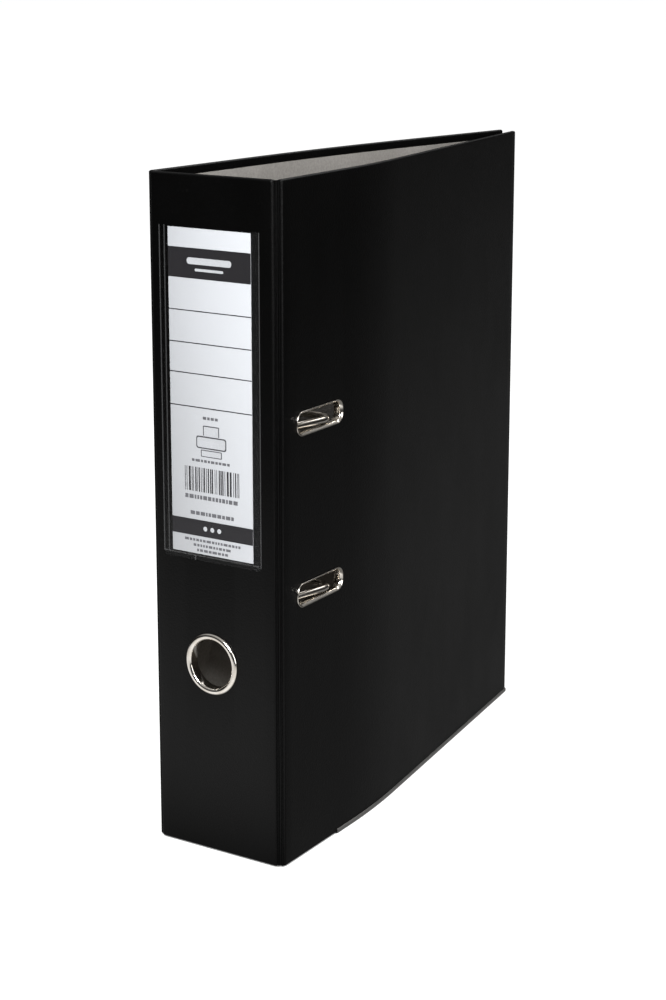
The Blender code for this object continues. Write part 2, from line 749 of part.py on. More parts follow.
def build():
    clear_scene()
    looks = {
        "film": make_material("black_film", (0.008, 0.008, 0.009), 0.38),
        "board": make_material("grey_board", (0.32, 0.29, 0.25), 0.9),
        "lining": make_material("grey_lining_paper", (0.30, 0.29, 0.27), 0.85),
        "chrome": make_material("chrome", (0.80, 0.79, 0.77), 0.12, 1.0),
        "nickel": make_material("nickel_plate", (0.62, 0.60, 0.57), 0.28, 1.0),
        "spring": make_material("spring_steel", (0.35, 0.34, 0.33), 0.35, 1.0),
        "rail": make_material("rail_steel", (0.45, 0.44, 0.42), 0.35, 1.0),
        "clear": make_material("clear_pocket", (0.85, 0.86, 0.88), 0.12),
        "card": make_material("label_card", (0.86, 0.87, 0.88), 0.65),
        "roller": make_material("roller_plastic", (0.70, 0.69, 0.66), 0.45),
    }

    spine_film, spine_board, spine_lining = wrapped_panel(
        "spine", spine_slab, (-SPINE_EDGE, SPINE_EDGE), (False, False), looks
    )
    ring_hole_radius = finger_ring(looks)
    ring_hole = rod("ring_hole", "Y", RING_CENTRE, ring_hole_radius, -PAST, THICKNESS + PAST, steps=40)
    for layer in (spine_film, spine_board, spine_lining):
        cut(layer, ring_hole)
    label(looks)
    hinge_strip("left_hinge_strip", -1, looks["film"])
    hinge_strip("right_hinge_strip", 1, looks["film"])

    front_layers = cover_panel("front", FRONT, looks)
    for prefix, arch_height in zip(("lower", "upper"), ARCH_HEIGHTS):
        height = arch_height + SLOT_RAISE
        slot_fittings(prefix, height, looks["chrome"])
        opening = slot_cutter(prefix + "_slot_opening", height)
        for layer in front_layers:
            cut(layer, opening)
    edge_rail("front_edge_rail", FRONT, looks["rail"])

    back_layers = cover_panel("back", BACK, looks)
    edge_rail("back_edge_rail", BACK, looks["rail"])
    plate = base_plate(looks)
    rivets(looks, [*back_layers, plate])
    posts(looks, plate)
    arch_wire(looks)
    arch_spring(looks)
    lever(looks)
    compressor(looks)
    hang_on_axes()
    move_origin()


build()
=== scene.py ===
"""Looks for the lever arch file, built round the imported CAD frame.

Units are metres and +Z is up, as in the CAD: the spine faces -Y, the front cover is on the +X side, the
back cover and the mechanism are on the -X side, and the file stands on z = 0. Shapes are worked out from
the bottom of the spine's outer face, in its middle, and put into the CAD's frame as they are made.
"""

import math
import random

import bmesh
import bpy
from mathutils import Matrix, Vector


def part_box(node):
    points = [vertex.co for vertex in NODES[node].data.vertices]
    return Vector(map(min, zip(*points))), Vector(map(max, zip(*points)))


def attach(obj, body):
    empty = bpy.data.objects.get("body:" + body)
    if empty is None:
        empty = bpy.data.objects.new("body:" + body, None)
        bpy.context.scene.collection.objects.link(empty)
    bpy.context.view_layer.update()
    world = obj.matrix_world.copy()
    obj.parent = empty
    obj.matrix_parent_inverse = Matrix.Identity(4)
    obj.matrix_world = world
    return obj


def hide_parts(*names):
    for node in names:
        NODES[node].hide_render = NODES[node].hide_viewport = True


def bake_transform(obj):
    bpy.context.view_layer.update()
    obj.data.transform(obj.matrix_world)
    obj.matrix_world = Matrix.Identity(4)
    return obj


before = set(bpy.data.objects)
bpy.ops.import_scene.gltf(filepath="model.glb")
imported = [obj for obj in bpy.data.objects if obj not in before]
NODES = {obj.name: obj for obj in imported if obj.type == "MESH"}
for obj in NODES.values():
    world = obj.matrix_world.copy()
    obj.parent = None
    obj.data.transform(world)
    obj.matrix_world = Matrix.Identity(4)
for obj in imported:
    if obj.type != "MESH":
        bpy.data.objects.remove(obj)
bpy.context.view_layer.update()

MM = 0.001


def spine_foot():
    """The bottom of the spine's outer face, in its middle, in the CAD's frame."""
    low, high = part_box("spine_film")
    return Vector(((low.x + high.x) / 2, low.y, 0.0))


ORIGIN = spine_foot()


def box(node):
    """The lowest and highest corners of a CAD node, measured from the spine's foot."""
    low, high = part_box(node)
    return low - ORIGIN, high - ORIGIN


# Panels: the same construction as the CAD, with the film's edges rounded
FILM = 0.35 * MM
LINING = 0.35 * MM
LAYER_GAP = 0.15 * MM
BOARD = 1.6 * MM
THICKNESS = FILM + LAYER_GAP + BOARD + LAYER_GAP + LINING
TURN_IN = 4.0 * MM
EDGE_ROUND = 0.95 * MM
SPINE_LOW, SPINE_HIGH = box("spine_film")
SPINE_EDGE = SPINE_HIGH.x
BOTTOM, HEIGHT = SPINE_LOW.z, SPINE_HIGH.z

# How far a cutter reaches past what it cuts
PAST = 2.0 * MM

# Covers: flat beside the spine, then bowed gently inward. Leans are in degrees towards the middle
COVER_LENGTH = 282 * MM
COVER_START = (SPINE_EDGE + 3.2 * MM, 2.7 * MM)
FRONT = {"side": 1, "lean": (4.8, 11.5), "flat": 60 * MM, "bend": 50 * MM}
BACK = {"side": -1, "lean": (0.0, 6.3), "flat": 80 * MM, "bend": 120 * MM}

# Hinge strips: their section runs from beside the spine's edge to beside the cover's
HINGE_START = Vector((SPINE_EDGE + 0.10 * MM, 0.85 * MM, 0.0))
HINGE_END = Vector((COVER_START[0] - 0.75 * MM, COVER_START[1] - 0.28 * MM, 0.0))

# Rails on the covers' bottom edges
RAIL_START = 48 * MM
RAIL_SHEET = 0.4 * MM
RAIL_HEIGHT = box("front_edge_rail")[1].z
RAIL_ROUND = 1.0 * MM

# Fittings on the front cover and the spine
SLOT_MIDDLE = 32 * MM
SLOT_HALF_LENGTH = 19.35 * MM
SLOT_HALF_HEIGHT = 4.3 * MM
SLOT_CORNER = 3.6 * MM
SLOT_HOLE_GAP = 0.8 * MM
RING_LOW, RING_HIGH = box("finger_ring")
RING_MIDDLE = (RING_LOW + RING_HIGH) / 2
RING_BORE = 11.75 * MM
RING_HOLE_GAP = 0.9 * MM
RIVETS = range(1, 5)
RIVET_HOLE = 2.1 * MM

CARD_LOW, CARD_HIGH = box("label_card")
POCKET_LOW, POCKET_HIGH = box("label_pocket")

# Angles in degrees, beyond which an edge is shaded sharp
PANEL_SHARP = 35
FITTING_SHARP = 50
HINGE_SHARP = 60
PRINT_SHARP = 30
CAD_SHARP = 40

# Fineness: steps in a rounded edge, a slot's corner and a circle, and the length of a panel's steps
ROUNDING_STEPS = 5
SLOT_STEPS = 10
CIRCLE_STEPS = 24
PANEL_STEP = 6 * MM

# The radius that is left where a rounding runs out
SMALLEST_CORNER = 0.02 * MM


# Mesh helpers


def mesh_object(name, bm, material, sharp_angle=PANEL_SHARP):
    """Turn a bmesh that was made from the spine's foot into an object in the CAD's frame."""
    bmesh.ops.recalc_face_normals(bm, faces=bm.faces)
    bmesh.ops.translate(bm, verts=bm.verts, vec=ORIGIN)
    mesh = bpy.data.meshes.new(name)
    bm.to_mesh(mesh)
    bm.free()
    obj = bpy.data.objects.new(name, mesh)
    bpy.context.scene.collection.objects.link(obj)
    if material:
        mesh.materials.append(material)
    mesh.shade_smooth()
    mesh.set_sharp_from_angle(angle=math.radians(sharp_angle))
    return obj


def loft(name, loops, material=None, closed=False, sharp_angle=PANEL_SHARP):
    """A solid through loops of points. A closed one joins its last loop to its first, as a ring does."""
    bm = bmesh.new()
    rows = [[bm.verts.new(point) for point in loop] for loop in loops]
    count = len(rows[0])
    pairs = list(zip(rows, rows[1:]))
    if closed:
        pairs.append((rows[-1], rows[0]))
    for first, second in pairs:
        for i in range(count):
            j = (i + 1) % count
            bm.faces.new((first[i], first[j], second[j], second[i]))
    if not closed:
        bm.faces.new(rows[0])
        bm.faces.new(rows[-1])
    return mesh_object(name, bm, material, sharp_angle)


def turned_loops(axis_x, axis_z, profile, steps):
    """Loops of a ring about an axis along Y, one for each (radius, y) of its profile."""
    loops = []
    for radius, y in profile:
        angles = (2 * math.pi * i / steps for i in range(steps))
        loops.append([(axis_x + radius * math.cos(a), y, axis_z + radius * math.sin(a)) for a in angles])
    return loops


def cut_away(obj, cutters):
    """Cut holes with exact Booleans and keep the result as the object's own mesh."""
    for cutter in cutters:
        modifier = obj.modifiers.new("Cut", "BOOLEAN")
        modifier.operation = "DIFFERENCE"
        modifier.solver = "EXACT"
        modifier.object = cutter
    graph = bpy.context.evaluated_depsgraph_get()
    mesh = bpy.data.meshes.new_from_object(obj.evaluated_get(graph))
    obj.modifiers.clear()
    obj.data = mesh
    mesh.shade_smooth()
    mesh.set_sharp_from_angle(angle=math.radians(PANEL_SHARP))
    for cutter in cutters:
        bpy.data.objects.remove(cutter, do_unlink=True)


def arc(middle, radius, start, end, steps):
    """Points of an arc as pairs, with its angles in degrees."""
    angles = (math.radians(start + (end - start) * i / steps) for i in range(steps + 1))
    return [(middle[0] + radius * math.cos(a), middle[1] + radius * math.sin(a)) for a in angles]


def circle(middle, radius):
    return arc(middle, radius, 0, 360, CIRCLE_STEPS)[:-1]


def rounded_rectangle(low, high, corner, steps):
    """The outline of a rectangle with rounded corners, from its low and high corners as pairs."""
    left, right = low[0] + corner, high[0] - corner
    bottom, top = low[1] + corner, high[1] - corner
    outline = []
    for quarter, middle in enumerate(((right, top), (left, top), (left, bottom), (right, bottom))):
        outline += arc(middle, corner, 90 * quarter, 90 * (quarter + 1), steps)
    return outline


# Places on a panel. Each gives the outer face's point, the direction along it and the direction inward


def cover_place(cover, along):
    lean_start, lean_end = (math.radians(lean) for lean in cover["lean"])
    radius = cover["bend"] / (lean_end - lean_start)
    before = min(along, cover["flat"])
    bent = min(max(along - cover["flat"], 0.0), cover["bend"])
    after = max(along - cover["flat"] - cover["bend"], 0.0)
    lean = lean_start + bent / radius
    inward = before * math.sin(lean_start) + radius * (math.cos(lean_start) - math.cos(lean))
    inward += after * math.sin(lean)
    forward = before * math.cos(lean_start) + radius * (math.sin(lean) - math.sin(lean_start))
    forward += after * math.cos(lean)
    side = cover["side"]
    point = Vector((side * (COVER_START[0] - inward), COVER_START[1] + forward, 0.0))
    direction = Vector((-side * math.sin(lean), math.cos(lean), 0.0))
    into = Vector((-side * math.cos(lean), -math.sin(lean), 0.0))
    return point, direction, into


def front_place(along):
    return cover_place(FRONT, along)


def back_place(along):
    return cover_place(BACK, along)


def spine_place(along):
    return Vector((along, 0.0, 0.0)), Vector((1.0, 0.0, 0.0)), Vector((0.0, 1.0, 0.0))


def slab(name, place, along, heights, depths, material=None, rounding=0.0):
    """A sheet that follows a panel: from and to along it, in height, and in depth from its outer face.
    Its edges and corners are rounded where a rounding is given."""
    steps = ROUNDING_STEPS if rounding else 0
    stations = []
    for i in range(steps):
        angle = math.radians(90) * i / steps
        stations.append((rounding * (1 - math.sin(angle)), rounding * (1 - math.cos(angle))))
    ends = [(along[0] + inset, trim) for trim, inset in stations]
    middle = max(2, round((along[1] - along[0]) / PANEL_STEP))
    inner = (along[0] + rounding, along[1] - rounding)
    places = ends + [(inner[0] + (inner[1] - inner[0]) * i / middle, 0.0) for i in range(middle + 1)]
    places += [(along[1] - inset, trim) for trim, inset in reversed(stations)]
    loops = []
    for distance, trim in places:
        point, _, into = place(distance)
        low, high = depths[0] + trim, depths[1] - trim
        bottom, top = heights[0] + trim, heights[1] - trim
        if rounding:
            corner = max(rounding - trim, SMALLEST_CORNER)
            outline = rounded_rectangle((low, bottom), (high, top), corner, steps)
        else:
            outline = [(high, top), (low, top), (low, bottom), (high, bottom)]
        loops.append([point + into * depth + Vector((0, 0, height)) for depth, height in outline])
    return loft(name, loops, material)


def film_wrap(name, place, along, free_ends, holes):
    """The film of one panel: wrapped round the board and turned in by TURN_IN at its free edges."""
    heights = (BOTTOM, HEIGHT)
    edge = FILM + LAYER_GAP
    margins = [TURN_IN if free else edge for free in free_ends]
    film = slab(name, place, along, heights, (0.0, THICKNESS), LOOKS["film"], EDGE_ROUND)
    hollow = slab(
        name + "_hollow",
        place,
        (along[0] + FILM, along[1] - FILM),
        (heights[0] + FILM, heights[1] - FILM),
        (FILM, THICKNESS - LINING),
    )
    window = slab(
        name + "_window",
        place,
        (along[0] + margins[0], along[1] - margins[1]),
        (heights[0] + TURN_IN, heights[1] - TURN_IN),
        (THICKNESS - LINING - LAYER_GAP, THICKNESS + PAST),
    )
    cut_away(film, [hollow, window, *holes])
    return film


def edge_rail(name, place):
    """A folded channel of sheet metal on a cover's bottom edge, closed at the free corner."""
    sheet = RAIL_SHEET + LAYER_GAP
    depths = (-sheet, THICKNESS + sheet)
    before = RAIL_START - 2 * PAST
    end = COVER_LENGTH + sheet
    rail = slab(name, place, (before, end), (0.0, RAIL_HEIGHT), depths, LOOKS["rail"], RAIL_ROUND)
    channel = slab(
        name + "_channel",
        place,
        (before - PAST, COVER_LENGTH + LAYER_GAP),
        (RAIL_SHEET, RAIL_HEIGHT + PAST),
        (-LAYER_GAP, THICKNESS + LAYER_GAP),
    )
    trim = slab(
        name + "_trim",
        place,
        (before - PAST, RAIL_START),
        (-PAST, RAIL_HEIGHT + PAST),
        (-PAST, THICKNESS + PAST),
    )
    cut_away(rail, [channel, trim])
    return rail


# Procedural materials. Patterns use object coordinates, which are metres in the CAD's frame


def fill_ramp(node, stops):
    """Give a colour ramp node its colours, each with its place from 0 to 1."""
    elements = node.color_ramp.elements
    while len(elements) < len(stops):
        elements.new(0.5)
    for element, (place, colour) in zip(elements, stops):
        element.position = place
        element.color = (*colour, 1.0)


class Material:
    """A node material under construction, with the few kinds of node that the looks are made from."""

    def __init__(self, name, roughness=0.5, metallic=0.0, specular=0.5):
        self.material = bpy.data.materials.new(name)
        self.material.use_nodes = True
        self.tree = self.material.node_tree
        self.shader = self.tree.nodes["Principled BSDF"]
        self.output = self.tree.nodes["Material Output"]
        self.shader.inputs["Roughness"].default_value = roughness
        self.shader.inputs["Metallic"].default_value = metallic
        self.shader.inputs["Specular IOR Level"].default_value = specular
        self.coordinates = self.tree.nodes.new("ShaderNodeTexCoord").outputs["Object"]

    def link(self, output, shader_input):
        self.tree.links.new(output, self.shader.inputs[shader_input])

    def stretched(self, stretch):
        node = self.tree.nodes.new("ShaderNodeMapping")
        node.inputs["Scale"].default_value = stretch
        self.tree.links.new(self.coordinates, node.inputs["Vector"])
        return node.outputs["Vector"]

    def height(self):
        node = self.tree.nodes.new("ShaderNodeSeparateXYZ")
        self.tree.links.new(self.coordinates, node.inputs["Vector"])
        return node.outputs["Z"]

    def noise(self, scale, detail=3.0, roughness=0.5, stretch=(1, 1, 1)):
        """scale is in cells to the metre."""
        node = self.tree.nodes.new("ShaderNodeTexNoise")
        node.inputs["Scale"].default_value = scale
        node.inputs["Detail"].default_value = detail
        node.inputs["Roughness"].default_value = roughness
        self.tree.links.new(self.stretched(stretch), node.inputs["Vector"])
        return node.outputs["Fac"]

    def cells(self, scale):
        """scale is in cells to the metre."""
        node = self.tree.nodes.new("ShaderNodeTexVoronoi")
        node.inputs["Scale"].default_value = scale
        self.tree.links.new(self.coordinates, node.inputs["Vector"])
        return node.outputs["Distance"]

    def ramp(self, value, stops):
        """Colours at places from 0 to 1 of a value."""
        node = self.tree.nodes.new("ShaderNodeValToRGB")
        fill_ramp(node, stops)
        self.tree.links.new(value, node.inputs["Fac"])
        return node.outputs["Color"]

    def spread(self, value, low, high, from_low=0.3, from_high=0.7):
        """Map a value's middle range onto low to high."""
        node = self.tree.nodes.new("ShaderNodeMapRange")
        ends = {"From Min": from_low, "From Max": from_high, "To Min": low, "To Max": high}
        for key, number in ends.items():
            node.inputs[key].default_value = number
        self.tree.links.new(value, node.inputs["Value"])
        return node.outputs["Result"]

    def combine(self, operation, first, second):
        node = self.tree.nodes.new("ShaderNodeMath")
        node.operation = operation
        for socket, value in zip(node.inputs, (first, second)):
            if isinstance(value, (int, float)):
                socket.default_value = value
            else:
                self.tree.links.new(value, socket)
        return node.outputs["Value"]

    def bump(self, height, distance, strength):
        node = self.tree.nodes.new("ShaderNodeBump")
        node.inputs["Distance"].default_value = distance
        node.inputs["Strength"].default_value = strength
        self.tree.links.new(height, node.inputs["Height"])
        self.link(node.outputs["Normal"], "Normal")

    def mixed(self, share, first, second):
        """Two shaders mixed, with a share of the second."""
        node = self.tree.nodes.new("ShaderNodeMixShader")
        for socket, value in zip(node.inputs, (share, first, second)):
            self.tree.links.new(value, socket)
        return node.outputs["Shader"]

    def emission(self, strength):
        node = self.tree.nodes.new("ShaderNodeEmission")
        self.tree.links.new(strength, node.inputs["Strength"])
        return node.outputs["Emission"]


def black_film():
    """Embossed polypropylene film: a fine pebbled grain, faint handling marks and a soft sheen."""
    look = Material("black_film", specular=0.14)
    pebble = look.cells(scale=1300)
    fine = look.noise(scale=2200, detail=2)
    grain = look.combine("ADD", pebble, look.combine("MULTIPLY", fine, 0.6))
    look.bump(grain, distance=0.08 * MM, strength=0.8)
    clouds = look.noise(scale=14, detail=4)
    rubs = look.noise(scale=60, detail=6, stretch=(1, 1, 0.6))
    polish = look.spread(clouds, low=0.34, high=0.39)
    sheen = look.combine("ADD", polish, look.spread(rubs, low=-0.015, high=0.015))
    look.link(sheen, "Roughness")
    dust = look.noise(scale=420, detail=5, roughness=0.7)
    look.link(look.ramp(dust, [(0.0, (0.0003, 0.0003, 0.0003)), (0.62, (0.0005, 0.0005, 0.0005)),
                               (0.80, (0.0030, 0.0027, 0.0027))]), "Base Color")
    return look.material


def lining_paper():
    """Grey recycled paper with fibres and specks."""
    look = Material("grey_lining_paper", roughness=0.85, specular=0.25)
    fibres = look.noise(scale=900, detail=6, roughness=0.75)
    clouds = look.noise(scale=40, detail=3)
    fine, broad = look.combine("MULTIPLY", fibres, 0.7), look.combine("MULTIPLY", clouds, 0.3)
    mottle = look.combine("ADD", fine, broad)
    look.link(look.ramp(mottle, [(0.30, (0.14, 0.132, 0.122)), (0.50, (0.195, 0.185, 0.172)),
                                 (0.72, (0.26, 0.248, 0.232))]), "Base Color")
    look.bump(fibres, distance=0.04 * MM, strength=0.5)
    return look.material


def grey_board():
    """Solid greyboard, seen only at the edges of the holes."""
    look = Material("grey_board", roughness=0.92, specular=0.2)
    layers = look.noise(scale=700, detail=5, roughness=0.8)
    look.link(look.ramp(layers, [(0.3, (0.17, 0.15, 0.12)), (0.7, (0.33, 0.30, 0.25))]), "Base Color")
    look.bump(layers, distance=0.08 * MM, strength=0.6)
    return look.material


def metal(name, colour, dark, roughness, scratch, direction=(1, 1, 1), shaded=0.0):
    """Plated steel: fine scratches along one direction, faint staining and an uneven polish. Below the
    shaded height its colour is painted darker, to near black, as painted shade where the floor is too
    near to light it."""
    look = Material(name, metallic=1.0)
    scratches = look.noise(scale=2200, detail=4, roughness=0.7, stretch=direction)
    stains_and_painted_shade = look.noise(scale=120, detail=5, roughness=0.6)
    # Painted shade: below the shaded height the staining value is pulled towards 0, the near-black stop.
    if shaded:
        light = look.spread(look.height(), low=0.0, high=1.0, from_low=0.4 * shaded, from_high=shaded)
        stains_and_painted_shade = look.combine("MULTIPLY", stains_and_painted_shade, light)
    # The near-black first stop is reached only as painted shade at the foot; the other two stops are the
    # metal's staining.
    stops = [(0.0, (0.002, 0.002, 0.002)), (0.25, dark), (0.60, colour)]
    look.link(look.ramp(stains_and_painted_shade, stops), "Base Color")
    polish = look.combine(
        "ADD",
        look.spread(scratches, low=roughness * 0.8, high=roughness * 1.25),
        look.spread(stains_and_painted_shade, low=roughness * 0.15, high=-roughness * 0.1),
    )
    look.link(polish, "Roughness")
    look.bump(scratches, distance=0.01 * MM, strength=scratch)
    return look.material


def card_paper():
    """Smooth white card with a trace of fibre."""
    look = Material("label_card", roughness=0.62, specular=0.3)
    fibres = look.noise(scale=1400, detail=5, roughness=0.7, stretch=(0.5, 1, 1))
    look.link(look.ramp(fibres, [(0.2, (0.465, 0.475, 0.495)), (0.7, (0.50, 0.51, 0.53))]), "Base Color")
    look.bump(fibres, distance=0.01 * MM, strength=0.4)
    return look.material


def ink(name, colour):
    """Offset ink that has taken slightly unevenly."""
    look = Material(name, roughness=0.5, specular=0.3)
    mottle = look.noise(scale=3000, detail=3, roughness=0.7)
    darker = tuple(0.8 * part for part in colour)
    look.link(look.ramp(mottle, [(0.3, darker), (0.7, colour)]), "Base Color")
    look.link(look.spread(mottle, low=0.45, high=0.6), "Roughness")
    return look.material


MOST_HAZE = 0.05


def clear_sheet():
    """Thin clear film: it shows what is behind it, with a soft reflection on its outer side that grows at
    low angles, and a milky haze where its mesh's frost attribute says so."""
    look = Material("clear_pocket")
    nodes, links = look.tree.nodes, look.tree.links
    nodes.remove(look.shader)
    clear = nodes.new("ShaderNodeBsdfTransparent")
    clear.inputs["Color"].default_value = (0.97, 0.975, 0.98, 1.0)
    gloss = nodes.new("ShaderNodeBsdfGlossy")
    gloss.inputs["Roughness"].default_value = 0.12
    waves = nodes.new("ShaderNodeBump")
    waves.inputs["Distance"].default_value = 0.3 * MM
    waves.inputs["Strength"].default_value = 0.4
    links.new(look.noise(scale=45, detail=2), waves.inputs["Height"])
    links.new(waves.outputs["Normal"], gloss.inputs["Normal"])
    fresnel = nodes.new("ShaderNodeFresnel")
    fresnel.inputs["IOR"].default_value = 1.30
    side = nodes.new("ShaderNodeNewGeometry")
    outer = look.combine("SUBTRACT", 1.0, side.outputs["Backfacing"])
    reflected = look.combine("MULTIPLY", fresnel.outputs["Fac"], outer)
    shiny = look.mixed(reflected, clear.outputs["BSDF"], gloss.outputs["BSDF"])
    haze = nodes.new("ShaderNodeBsdfDiffuse")
    haze.inputs["Color"].default_value = (0.55, 0.56, 0.58, 1.0)
    frost = nodes.new("ShaderNodeAttribute")
    frost.attribute_name = "frost"
    hazy = look.combine("MULTIPLY", frost.outputs["Fac"], MOST_HAZE)
    links.new(look.mixed(hazy, shiny, haze.outputs["BSDF"]), look.output.inputs["Surface"])
    return look.material


def moulded_plastic():
    """Pale plastic with faint flow marks."""
    look = Material("roller_plastic", roughness=0.45)
    flow = look.noise(scale=500, detail=3, stretch=(1, 0.3, 1))
    look.link(look.ramp(flow, [(0.3, (0.62, 0.60, 0.55)), (0.7, (0.72, 0.70, 0.66))]), "Base Color")
    look.bump(flow, distance=0.02 * MM, strength=0.4)
    return look.material


LOOKS = {
    "film": black_film(),
    "lining": lining_paper(),
    "board": grey_board(),
    "chrome": metal(
        "chrome",
        colour=(0.84, 0.80, 0.74),
        dark=(0.66, 0.60, 0.52),
        roughness=0.12,
        scratch=0.15,
    ),
    "nickel": metal(
        "nickel_plate",
        colour=(0.58, 0.56, 0.52),
        dark=(0.42, 0.40, 0.36),
        roughness=0.26,
        scratch=0.3,
        direction=(1, 1, 0.05),
    ),
    "spring": metal(
        "spring_steel",
        colour=(0.42, 0.41, 0.40),
        dark=(0.28, 0.26, 0.24),
        roughness=0.32,
        scratch=0.3,
        direction=(1, 1, 0.1),
    ),
    # The rail's colour is painted darker on its lowest 0.8 mm, as painted shade near the floor.
    "rail": metal(
        "rail_steel",
        colour=(0.44, 0.43, 0.42),
        dark=(0.34, 0.33, 0.32),
        roughness=0.38,
        scratch=0.4,
        direction=(1, 0.04, 1),
        shaded=0.8 * MM,
    ),
    "card": card_paper(),
    "clear": clear_sheet(),
    "roller": moulded_plastic(),
    "black_ink": ink("black_ink", (0.016, 0.015, 0.017)),
    "grey_ink": ink("grey_ink", (0.07, 0.07, 0.075)),
    "pale_ink": ink("pale_ink", (0.13, 0.13, 0.14)),
    "white_ink": ink("white_ink", (0.50, 0.51, 0.53)),
}


WELD_DISTANCE = 0.001 * MM


def dress_cad_node(name, look, bevel):
    """Give a CAD node its finish, rounded edges and smooth shading. Its own mesh is left as it is."""
    obj = NODES[name]
    mesh = obj.data
    for slot in obj.material_slots:
        slot.material = LOOKS[look]
    if not obj.material_slots:
        mesh.materials.append(LOOKS[look])
    weld = obj.modifiers.new("Weld", "WELD")
    weld.merge_threshold = WELD_DISTANCE
    if bevel:
        rounding = obj.modifiers.new("Rounded edges", "BEVEL")
        rounding.width = bevel
        rounding.segments = 3
        rounding.limit_method = "ANGLE"
        rounding.angle_limit = math.radians(CAD_SHARP)
    mesh.shade_smooth()
    mesh.set_sharp_from_angle(angle=math.radians(CAD_SHARP))


def placed(obj, body, slot, *nodes):
    """Ride on a body and stand for CAD nodes, hiding them. The slot is not used."""
    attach(obj, body)
    if nodes:
        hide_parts(*nodes)


# Covers and spine


def slot_loops(height, profile):
    """Loops round a front cover slot, one for each (distance out from the opening, depth)."""
    middle, along, into = front_place(SLOT_MIDDLE)
    loops = []
    for out, depth in profile:
        half_length, half_height = SLOT_HALF_LENGTH + out, SLOT_HALF_HEIGHT + out
        low, high = (-half_length, -half_height), (half_length, half_height)
        outline = rounded_rectangle(low, high, SLOT_CORNER + out, SLOT_STEPS)
        base = middle + into * depth + Vector((0, 0, height))
        loops.append([base + along * a + Vector((0, 0, up)) for a, up in outline])
    return loops


def clinch(bore, wall, lip, width):
    """The inner end of an eyelet's section: bent out over the lining, and softened at the bore."""
    back = lip + 0.4 * MM
    soft = 0.15 * MM
    return [
        (wall, lip),
        (wall + width, lip),
        (wall + width, back),
        (bore + soft, back),
        (bore, back - soft),
    ]


def slot_eyelet(prefix, height):
    """Drawn metal liner of a slot: a funnel with a rolled edge on the outside, clinched on the inside."""
    wall = 0.5 * MM
    inner_end = clinch(0.0, wall, THICKNESS + 0.85 * MM, 0.7 * MM)
    funnel = [(0.0, 0.65 * MM), (0.07 * MM, 0.40 * MM), (0.36 * MM, 0.0), (0.66 * MM, -0.31 * MM)]
    rolled = arc((1.12 * MM, -0.40 * MM), 0.27 * MM, 225, 350, 6)
    under = [(1.4 * MM, -LAYER_GAP), (0.78 * MM, -LAYER_GAP), (wall, 0.35 * MM)]
    loops = slot_loops(height, funnel + rolled + under + inner_end)
    eyelet = loft(prefix + "_slot_rim", loops, LOOKS["chrome"], closed=True, sharp_angle=FITTING_SHARP)
    placed(eyelet, "front_cover", "chrome", prefix + "_slot_eyelet")


def ring_hole():
    """A cutter for the finger ring's hole in the spine's film."""
    radius = RING_BORE + RING_HOLE_GAP
    profile = [(radius, -PAST), (radius, THICKNESS + PAST)]
    return loft("ring_hole", turned_loops(RING_MIDDLE.x, RING_MIDDLE.z, profile, steps=64))


def finger_ring():
    """The metal ring in the spine: an oval roll outside, a tube, and a clinch over the lining."""
    half_width = 1.5 * MM
    rise = 1.1 * MM
    wall = RING_BORE + 0.6 * MM
    profile = [(RING_BORE, 0.3 * MM)]
    for across, out in arc((0.0, 0.0), 1.0, 180, 0, 16):
        profile.append((RING_BORE + half_width * (1 + across), -LAYER_GAP - rise * out))
    profile.append((wall, -LAYER_GAP))
    profile += clinch(RING_BORE, wall, THICKNESS + 1.1 * MM, 1.3 * MM)
    loops = turned_loops(RING_MIDDLE.x, RING_MIDDLE.z, profile, steps=96)
    ring = loft("finger_ring_eyelet", loops, LOOKS["chrome"], closed=True, sharp_angle=FITTING_SHARP)
    placed(ring, "spine", "chrome", "finger_ring")


def hinge_film(name, side, node):
    """The flexible strip of film beside the spine, with two ridges pressed along it."""
    run = HINGE_END - HINGE_START
    out = Vector((run.y, -run.x, 0.0)).normalized()
    columns, levels = 28, 60
    sheet = 0.4 * MM
    end_gap = 0.3 * MM
    ridge_count, ridge_rise, flatness = 2, 0.55 * MM, 0.8
    back_share = 0.6
    deepest_sag = 0.35 * MM
    front_row, back_row = [], []
    for i in range(columns + 1):
        share = i / columns
        ridges = max(0.0, math.sin(2 * math.pi * share * ridge_count - math.pi / 2)) ** flatness
        height = ridge_rise * ridges - deepest_sag * math.sin(math.pi * share)
        point = HINGE_START + run * share
        front_row.append(point + out * height)
        back_row.append(point + out * (height * back_share - sheet))
    outline = front_row + list(reversed(back_row))
    loops = []
    for j in range(levels + 1):
        z = BOTTOM + end_gap + (HEIGHT - BOTTOM - 2 * end_gap) * j / levels
        loops.append([(side * point.x, point.y, z) for point in outline])
    strip = loft(name, loops, LOOKS["film"], sharp_angle=HINGE_SHARP)
    ends = (ORIGIN + Vector((side * point.x, point.y, 0.0)) for point in (HINGE_START, HINGE_END))
    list(ends)
    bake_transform(strip)
    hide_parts(node)


def slot_heights():
    """The name and the middle height of each slot."""
    for prefix in ("lower", "upper"):
        low, high = box(prefix + "_slot_eyelet")
        yield prefix, (low.z + high.z) / 2


def rivet_holes():
    """Cutters for the holes in the back cover's film that the rivet shanks pass through."""
    cutters = []
    for number in RIVETS:
        low, high = box(f"rivet_{number}")
        y, z = (low.y + high.y) / 2, (low.z + high.z) / 2
        outline = circle((y, z), RIVET_HOLE)
        loops = [[(x, *point) for point in outline] for x in (low.x - PAST, high.x + PAST)]
        cutters.append(loft(f"rivet_hole_{number}", loops))
    return cutters


